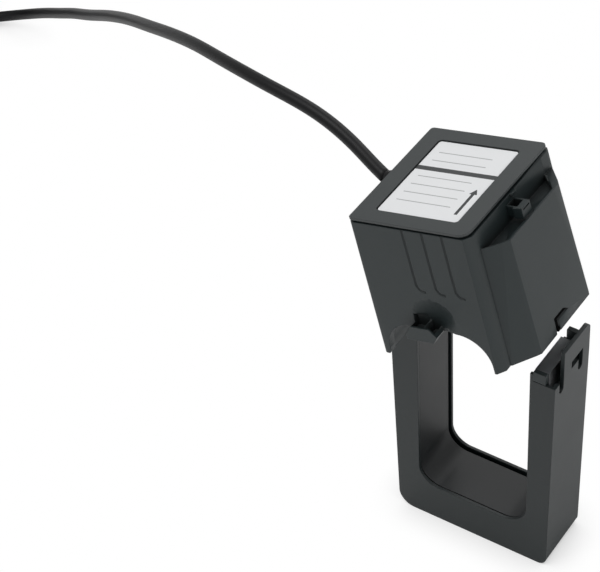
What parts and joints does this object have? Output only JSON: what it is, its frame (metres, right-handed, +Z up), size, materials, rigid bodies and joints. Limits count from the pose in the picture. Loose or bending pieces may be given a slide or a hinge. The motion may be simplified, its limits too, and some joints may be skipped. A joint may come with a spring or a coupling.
{
  "type": "split-core current transformer",
  "caption": "Hinged split-core current transformer: U-shaped lower frame, upper housing swung open, snap latch, bare label and a free two-core cable.",
  "frame": {"origin": "middle of the lower frame's flat bottom face", "axes": "+Z up from that face, +X across the window towards the latch, +Y to the rear along the conductor's way through the window"},
  "size_m": [0.4595, 0.2128, 0.159],
  "materials": {
    "shell_grey": "fine moulded texture",
    "lid_grey": "fine moulded texture",
    "liner_black": "smooth",
    "clip_black": "smooth",
    "core_steel": "ground end faces, wound strip sides",
    "spring_steel": "rolled",
    "label_white": "satin film",
    "former_ivory": "smooth",
    "copper_wire": "enamelled wire",
    "tape_amber": "film",
    "foam_dark": "closed-cell foam",
    "lead_white": "insulation",
    "sleeve_blue": "crimp sleeve",
    "cable_black": "smooth jacket, slight gloss",
    "tie_black": "smooth"
  },
  "bodies": {
    "lower_frame": {"frame_shell": "shell_grey", "window_liner": "liner_black", "lower_core": "core_steel", "core_carrier": "clip_black", "core_spring": "spring_steel", "hinge_pin": "spring_steel"},
    "upper_body": {"housing": "shell_grey", "lid": "lid_grey", "label": "label_white", "upper_core": "core_steel", "former": "former_ivory", "winding": "copper_wire", "winding_tape": "tape_amber", "core_pad": "foam_dark", "lead_front": "lead_white", "lead_rear": "lead_white", "sleeve_front": "sleeve_blue", "sleeve_rear": "sleeve_blue", "cable_clamp": "clip_black", "cable_grommet": "cable_black", "cable": "cable_black", "cable_coil": "cable_black", "coil_tie": "tie_black"}
  },
  "joints": [
    {"name": "hinge", "type": "hinge", "parent": "lower_frame", "child": "upper_body", "pos_m": [-0.033, 0, 0.089], "axis": [0, -1, 0], "range_deg": [-15, 75]}
  ]
}
